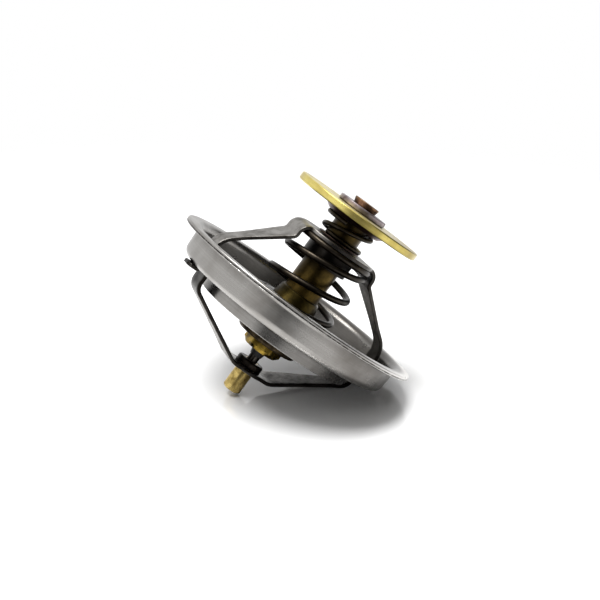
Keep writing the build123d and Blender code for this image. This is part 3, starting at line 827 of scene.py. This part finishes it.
# Half the width of the flat blank at a distance from the axis
def halfWidth(shape, x):
    widths = shape["widths"]
    half = widths[0][1] / 2
    for (fromX, fromWidth), (toX, toWidth) in zip(widths, widths[1:]):
        if x > fromX:
            share = min(1.0, (x - fromX) / (toX - fromX))
            half = (fromWidth + (toWidth - fromWidth) * share) / 2
    plate = shape["plateRadius"]
    base = widths[0][1] / 2
    corner = math.sqrt(max(0.0, plate ** 2 - base ** 2))
    if x < corner:
        half = max(half, math.sqrt(max(0.0, plate ** 2 - x ** 2)))
    # a fillet between the round plate and the side of the arm
    fillet = shape["plateFillet"]
    centreX = math.sqrt((plate + fillet) ** 2 - (base + fillet) ** 2)
    touch = centreX * plate / (plate + fillet)
    if touch < x < centreX:
        half = base + fillet - math.sqrt(max(0.0, fillet ** 2 - (centreX - x) ** 2))
    tip, cornerRound = widths[-1][0], shape["tabCorner"]
    if cornerRound and x > tip - cornerRound:
        half -= cornerRound - math.sqrt(max(0.0, cornerRound ** 2 - (x - tip + cornerRound) ** 2))
    return half


# The middle of the sheet as one surface: rings round the bore out to the plate's outline, then both arms
def strapMesh(name, shape):
    rows, sideSteps, spread = strapMake["rows"], strapMake["sideSteps"], strapMake["spread"]
    work = bmesh.new()
    root = shape["root"]
    rowShares = [-1 + 2 * row / (rows - 1) for row in range(rows)]
    path = bentLine(shape["middle"], arcStep=strapMake["armBend"], longest=strapMake["armStep"])
    flat = shape["middle"][0][1]

    # the outline of the plate: right root, top side, left root, bottom side
    outline = [(root, share * halfWidth(shape, root)) for share in rowShares]
    sweep = [math.pi * step / sideSteps for step in range(1, sideSteps)]
    outline += [(root * math.cos(a), halfWidth(shape, abs(root * math.cos(a)))) for a in sweep]
    outline += [(-root, -share * halfWidth(shape, root)) for share in rowShares]
    outline += [(-root * math.cos(a), -halfWidth(shape, abs(root * math.cos(a)))) for a in sweep]
    collar = bentLine(shape["collar"], arcStep=strapMake["collarBend"], longest=strapMake["collarStep"])
    rings = []
    for point in collar:
        rings.append([
            work.verts.new((point.x * math.cos(a) * mm, point.x * math.sin(a) * mm, point.y * mm))
            for a in (math.atan2(y, x) for x, y in outline)
        ])
    inner = collar[-1].x
    for step in range(1, spread + 1):
        share = step / spread
        ring = []
        for x, y in outline:
            angle = math.atan2(y, x)
            ring.append(work.verts.new((
                (inner * math.cos(angle) * (1 - share) + x * share) * mm,
                (inner * math.sin(angle) * (1 - share) + y * share) * mm,
                flat * mm,
            )))
        rings.append(ring)
    count = len(outline)
    for low, high in zip(rings, rings[1:]):
        for index in range(count):
            after = (index + 1) % count
            work.faces.new((low[index], low[after], high[after], high[index]))

    # each arm follows the bent line from the root to its tip
    for side in (-1, 1):
        stations = [Vector((root, flat))]
        stations += [point for point in path if point.x > root + strapMake["rootGap"]]
        columns = []
        for point in stations:
            half = halfWidth(shape, point.x)
            columns.append([
                work.verts.new((side * point.x * mm, share * half * mm, point.y * mm))
                for share in rowShares
            ])
        for low, high in zip(columns, columns[1:]):
            for row in range(rows - 1):
                work.faces.new((low[row], low[row + 1], high[row + 1], high[row]))
    bmesh.ops.remove_doubles(work, verts=work.verts, dist=strapMake["weld"])
    return finishedMesh(name, work)


def makeStrap(name, shape, material, node):
    finishPiece(name, strapMesh(name, shape), material, node, [
        ("SOLIDIFY", {
            "thickness": shape["sheet"] * mm, "offset": 0.0, "use_even_offset": True,
            "use_quality_normals": True,
        }),
        ("BEVEL", {
            "width": shape["edgeRound"] * mm, "segments": strapMake["edgeSteps"],
            "limit_method": "ANGLE", "angle_limit": math.radians(strapMake["sharperThan"]),
            "use_clamp_overlap": False,
        }),
    ])


makeStrap("springCage", cageShape, cageSteel, "spring_cage")
makeStrap("pinBridge", bridgeShape, bridgeSteel, "bridge")
print("cage and bridge made")


# Coil springs, one node tree for both, each wound at its given shape
mainSpringShape = {
    "Coil Radius": 10.25, "Flare": 0.0, "Wire Radius": 0.825, "Lower End": -2.75, "Upper End": 15.175,
    "Closed Angle": 217.0, "Ease Angle": 80.0, "Active Angle": 870.0, "Start Angle": -420.0,
}
mainSpringWork = {"points": 360, "joint": "valve_lift", "fixedEnd": 16.0, "length": 19.6, "travel": 8.0}
bypassSpringShape = {
    "Coil Radius": 5.25, "Flare": 1.3, "Wire Radius": 0.6, "Lower End": 18.05, "Upper End": 22.35,
    "Closed Angle": 200.0, "Ease Angle": 120.0, "Active Angle": 120.0, "Start Angle": -166.0,
}
bypassSpringWork = {"points": 240, "joint": "bypass_slide", "fixedEnd": 17.45, "length": 5.5, "travel": 2.0}
springLengths = ("Coil Radius", "Flare", "Wire Radius", "Lower End", "Upper End")
wireMake = {"sides": 24, "endRound": 0.12, "endSteps": 3, "sharperThan": 60}


def coilTree():
    tree = bpy.data.node_groups.new("closedCoilSpring", "GeometryNodeTree")
    sockets = {}
    tree.interface.new_socket("Geometry", in_out="OUTPUT", socket_type="NodeSocketGeometry")
    kinds = {name: "NodeSocketFloat" for name in mainSpringShape}
    kinds.update({"Points": "NodeSocketInt", "Finish": "NodeSocketMaterial"})
    for name, kind in kinds.items():
        sockets[name] = tree.interface.new_socket(name, in_out="INPUT", socket_type=kind).identifier
    given = addNode(tree, "NodeGroupInput").outputs
    result = addNode(tree, "NodeGroupOutput")

    def maths(operation, first, second=0.0, third=0.0):
        node = addNode(tree, "ShaderNodeMath", {0: first, 1: second, 2: third}, operation=operation)
        return node.outputs[0]

    rest, ease, active = given["Closed Angle"], given["Ease Angle"], given["Active Angle"]
    ends = maths("MULTIPLY", maths("ADD", rest, ease), 2.0)
    total = maths("ADD", ends, active)
    index = addNode(tree, "GeometryNodeInputIndex").outputs[0]
    along = maths("DIVIDE", index, maths("SUBTRACT", given["Points"], 1.0))
    angle = maths("MULTIPLY", along, total)
    # the pitch is nothing in the closed ends, one steady slope between them, and comes in gently
    sloping = maths("ADD", maths("MULTIPLY", ease, 2.0), active)
    rising = maths("MINIMUM", maths("MAXIMUM", maths("SUBTRACT", angle, rest), 0.0), sloping)
    first = maths("MINIMUM", rising, ease)
    steady = maths("MINIMUM", maths("MAXIMUM", maths("SUBTRACT", rising, ease), 0.0), active)
    last = maths("MAXIMUM", maths("SUBTRACT", maths("SUBTRACT", rising, ease), active), 0.0)
    twice = maths("MULTIPLY", ease, 2.0)
    comingIn = maths("DIVIDE", maths("MULTIPLY", first, first), twice)
    goingOut = maths("SUBTRACT", last, maths("DIVIDE", maths("MULTIPLY", last, last), twice))
    climbed = maths("ADD", maths("ADD", comingIn, steady), goingOut)
    rise = maths("SUBTRACT", given["Upper End"], given["Lower End"])
    slope = maths("DIVIDE", rise, maths("ADD", active, ease))
    height = maths("MULTIPLY_ADD", climbed, slope, given["Lower End"])
    radius = maths("MULTIPLY_ADD", given["Flare"], along, given["Coil Radius"])
    turn = maths("RADIANS", maths("ADD", angle, given["Start Angle"]))
    place = addNode(tree, "ShaderNodeCombineXYZ", {
        "X": maths("MULTIPLY", radius, maths("COSINE", turn)),
        "Y": maths("MULTIPLY", radius, maths("SINE", turn)),
        "Z": height,
    })
    line = addNode(tree, "GeometryNodeMeshLine", {"Count": given["Points"]})
    coil = addNode(tree, "GeometryNodeSetPosition", {
        "Geometry": line.outputs[0], "Position": place.outputs[0],
    })
    curve = addNode(tree, "GeometryNodeMeshToCurve", {"Mesh": coil.outputs[0]})
    upright = addNode(tree, "GeometryNodeSetCurveNormal", {"Curve": curve.outputs[0]}, mode="Z_UP")
    wire = addNode(tree, "GeometryNodeCurvePrimitiveCircle", {
        "Resolution": wireMake["sides"], "Radius": given["Wire Radius"],
    })
    tube = addNode(tree, "GeometryNodeCurveToMesh", {
        "Curve": upright.outputs[0], "Profile Curve": wire.outputs[0], "Fill Caps": True,
    })
    real = addNode(tree, "GeometryNodeRealizeInstances", {0: tube.outputs[0]})
    coat = addNode(tree, "GeometryNodeSetMaterial", {
        "Geometry": real.outputs[0], "Material": given["Finish"],
    })
    tree.links.new(coat.outputs[0], result.inputs[0])
    return tree, sockets


def makeSpring(name, shape, work, tree, sockets, node):
    maker = bpy.data.objects.new(name + "Maker", bpy.data.meshes.new(name + "Maker"))
    bpy.context.collection.objects.link(maker)
    modifier = maker.modifiers.new("coil", "NODES")
    modifier.node_group = tree
    for label, value in shape.items():
        modifier[sockets[label]] = value * mm if label in springLengths else value
    modifier[sockets["Points"]] = work["points"]
    modifier[sockets["Finish"]] = springWire
    applyModifiers(maker)
    wound = maker.data
    bpy.data.objects.remove(maker)
    piece = finishPiece(name, wound, springWire, node, [
        ("BEVEL", {
            "width": wireMake["endRound"] * mm, "segments": wireMake["endSteps"],
            "limit_method": "ANGLE", "angle_limit": math.radians(wireMake["sharperThan"]),
        }),
    ])
    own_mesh(piece)


coil, coilSockets = coilTree()
makeSpring("mainSpring", mainSpringShape, mainSpringWork, coil, coilSockets, "main_spring")
makeSpring(
    "bypassSpring", bypassSpringShape, bypassSpringWork, coil, coilSockets,
    "bypass_spring",
)
print("springs made")


# Round pieces, turned or pressed: each corner of a profile is a radius, a height and a rounding
def makeRound(name, finish, node, profile):
    corners = list(profile.values())
    beginsAtAxis = corners[0][0] == 0
    mesh = latheMesh(name, corners, closed=not beginsAtAxis)
    finishPiece(name, mesh, finish, node)


# Valve plate: pressed with a low seat for the spring and a raised hub
makeRound("valvePlate", valveSteel, "valve_disc", {
    "boreUnder": (4.8, -2.7, 0.05), "hubUnder": (7.6, -2.7, 0.5),
    "seatUnder": (8.3, -4.6, 0.9), "slopeUnder": (13.0, -4.6, 0.9),
    "bendUnder": (19.5, -5.2, 1.6), "rimUnder": (22.6, -5.2, 0.1),
    "rimTop": (22.6, -4.2, 0.3), "bendTop": (19.5, -4.2, 0.8),
    "slopeTop": (13.0, -3.6, 1.8), "seatTop": (9.1, -3.6, 0.4),
    "hubTop": (8.4, -1.7, 0.6), "boreTop": (4.8, -1.7, 0.05),
})
makeRound("valveSealRing", sealRubber, "valve_seal", {
    "boreUnder": (21.4, -5.9, 0.3), "rimUnder": (22.8, -5.9, 0.3),
    "rimTop": (22.8, -5.2, 0.12), "boreTop": (21.4, -5.2, 0.12),
})
makeRound("valveRetainer", retainerBrass, "valve_retainer", {
    "boreFoot": (4.8, -1.7, 0.05), "foot": (6.1, -1.7, 0.15),
    "coneTop": (5.38, 1.3, 0.12), "chamferTop": (5.1, 1.6, 0.1), "boreTop": (4.8, 1.6, 0.05),
})
print("valve made")


# Wax element: the capsule with its room for the wax and its turned nose, and the crimped collar below
makeRound("waxCapsule", capsuleBrass, "wax_capsule", {
    "waxRoof": (0, 13.85, 0), "waxRoofEdge": (3.9, 13.85, 0.4), "waxFoot": (3.9, -11.3, 0.1),
    "flangeUnder": (7.5, -11.3, 0.1), "flangeTop": (7.5, -10.2, 0.1),
    "bodyFoot": (4.8, -10.2, 0.25), "step": (4.8, 17.05, 0.12),
    "noseFoot": (4.35, 17.05, 0.05), "noseEdge": (4.35, 25.95, 0.08), "noseTop": (4.05, 26.25, 0.08),
    "socketMouth": (2.5, 26.25, 0.05), "socketFoot": (2.5, 22.25, 0.2), "socketMiddle": (0, 22.25, 0),
})
makeRound("elementCollar", collarBrass, "element_collar", {
    "lipBore": (5.35, -13.3, 0.15), "lipOuter": (8.4, -13.3, 0.8),
    "crimpOuter": (8.4, -9.3, 0.5), "crimpBore": (4.8, -9.3, 0.15), "crimpUnder": (4.8, -10.2, 0.1),
    "grooveTop": (7.5, -10.2, 0.1), "grooveFoot": (7.5, -12.4, 0.1), "lipTop": (5.35, -12.4, 0.1),
})
makeRound("pistonSeal", sealRubber, "piston_seal", {
    "boreTop": (1.49, -14.7, 0.05), "boreFoot": (1.49, -17.4, 0.04), "tip": (1.6, -17.4, 0.04),
    "noseFoot": (1.95, -15.8, 0.1), "seatFoot": (2.7, -15.8, 0.05), "seatTop": (2.7, -14.7, 0.1),
})
print("wax element made")


# Piston, and the socketed pin that is riveted over its washer in the bridge
makeRound("pistonRod", pistonSteel, "piston", {
    "foot": (0, -26.2, 0), "footEdge": (1.42, -26.2, 0.1),
    "topEdge": (1.42, 10.25, 0.12), "topChamfer": (1.12, 10.55, 0.1), "top": (0, 10.55, 0),
})
makeRound("anchorWasher", blackSteel, "anchor_washer", {
    "boreFoot": (1.95, -20.8, 0.05), "foot": (3.55, -20.8, 0.15),
    "edge": (3.55, -19.35, 0.1), "chamferTop": (3.2, -19.0, 0.1), "boreTop": (1.95, -19.0, 0.05),
})
makeRound("anchorPin", pinBrass, "anchor_pin", {
    "dimple": (0, -27.75, 0), "dimpleEdge": (0.7, -28.0, 0.2),
    "foot": (1.9, -28.0, 0.1), "chamferTop": (2.4, -27.5, 0.1), "shoulder": (2.4, -21.8, 0.15),
    "neckFoot": (1.95, -21.8, 0.05), "neckTop": (1.95, -19.0, 0.12),
    "socketMouth": (1.42, -19.0, 0.1), "socketFoot": (1.42, -26.2, 0.05), "socketMiddle": (0, -26.2, 0),
})
print("piston and pin made")


# Bypass valve: the disc over its pressed dish, the washer under their spring, and what holds them on
makeRound("bypassSpringSeat", seatSteel, "bypass_spring_seat", {
    "boreFoot": (4.35, 17.05, 0.05), "foot": (5.8, 17.05, 0.12),
    "top": (5.8, 17.45, 0.12), "boreTop": (4.35, 17.45, 0.05),
})
makeRound("bypassDish", dishBronze, "bypass_dish", {
    "boreUnder": (4.43, 22.95, 0.1), "floorUnder": (7.25, 22.95, 0.5),
    "rimOuter": (9.1, 24.35, 0.1), "rimInner": (8.3, 24.35, 0.1),
    "floorTop": (6.95, 23.55, 0.3), "boreTop": (4.43, 23.55, 0.1),
})
makeRound("bypassDisc", discBrass, "bypass_disc", {
    "boreUnder": (4.43, 24.35, 0.1), "under": (17.1, 24.35, 0.12), "edgeUnder": (17.35, 24.6, 0.12),
    "edgeTop": (17.35, 26.0, 0.12), "top": (17.1, 26.25, 0.12), "boreTop": (4.43, 26.25, 0.1),
})
makeRound("stopWasher", washerSteel, "stop_washer", {
    "boreUnder": (2.5, 26.35, 0.05), "under": (6.5, 26.35, 0.1), "edgeUnder": (6.65, 26.5, 0.1),
    "edgeTop": (6.65, 27.5, 0.12), "top": (6.5, 27.65, 0.12), "boreTop": (2.5, 27.65, 0.05),
})
makeRound("endRivet", rivetCopper, "end_rivet", {
    "foot": (0, 22.25, 0), "footEdge": (2.5, 22.25, 0.1), "neck": (2.5, 27.65, 0.05),
    "headUnder": (3.1, 27.65, 0.1), "headEdge": (3.45, 28.75, 0.1), "headTop": (3.45, 29.15, 0.15),
    "dimpleEdge": (1.2, 29.1, 0.3), "dimple": (0, 28.85, 0),
})
print("bypass valve made")


# Inside the capsule: the rubber boot round the piston, and the wax round the boot
makeRound("rubberBoot", bootRubber, "rubber_boot", {
    "boreFoot": (1.49, -11.3, 0.05), "foot": (2.84, -11.3, 0.1), "roofEdge": (2.84, 12.35, 0.67),
    "roof": (0, 12.35, 0), "boreRoof": (0, 11.15, 0), "boreTop": (1.49, 11.15, 0.3),
})
makeRound("waxCharge", copperWax, "wax_charge", {
    "boreFoot": (2.84, -11.3, 0.05), "foot": (3.9, -11.3, 0.05), "roofEdge": (3.9, 13.85, 0.4),
    "roof": (0, 13.85, 0), "boreRoof": (0, 12.35, 0), "boreTop": (2.84, 12.35, 0.67),
})
print("boot and wax made")


# Element guide: a hexagon under a round flange, with the hexagon's corners cut back on the lathe
guideShape = {
    "acrossCorners": 10.7,
    "turn": 34.0,               # degrees, where its first corner points
    "turnedRadius": 5.25,
    "hexagonBelow": -12.35,
    "roundWithin": 3.0,         # the bore stays round
    "smoothBelow": 25,          # degrees between two faces that shade as one
    "profile": {
        "noseBore": (2.7, -15.8, 0.1), "nose": (4.3, -15.8, 0.1), "coneTop": (5.5, -14.9, 0),
        "hexagonTop": (5.5, -12.4, 0), "flangeUnder": (7.5, -12.4, 0.1), "flangeTop": (7.5, -11.3, 0.1),
        "boreTop": (1.49, -11.3, 0.05), "boreFoot": (1.49, -14.7, 0.05), "sealSeat": (2.7, -14.7, 0.05),
    },
}


def hexagonEdge(radius, height, angle):
    if height > guideShape["hexagonBelow"] or radius < guideShape["roundWithin"]:
        return radius
    toFlat = guideShape["acrossCorners"] / 2 * math.cos(math.radians(30))
    offset = (math.degrees(angle) - guideShape["turn"]) % 60 - 30
    return min(radius, toFlat / math.cos(math.radians(offset)), guideShape["turnedRadius"])


guideMesh = latheMesh(
    "elementGuide", list(guideShape["profile"].values()), start=math.radians(guideShape["turn"]),
    clip=hexagonEdge,
)
finishPiece(
    "elementGuide", guideMesh, guideBrass, "element_guide",
    sharpAngle=guideShape["smoothBelow"],
)
print("guide made")
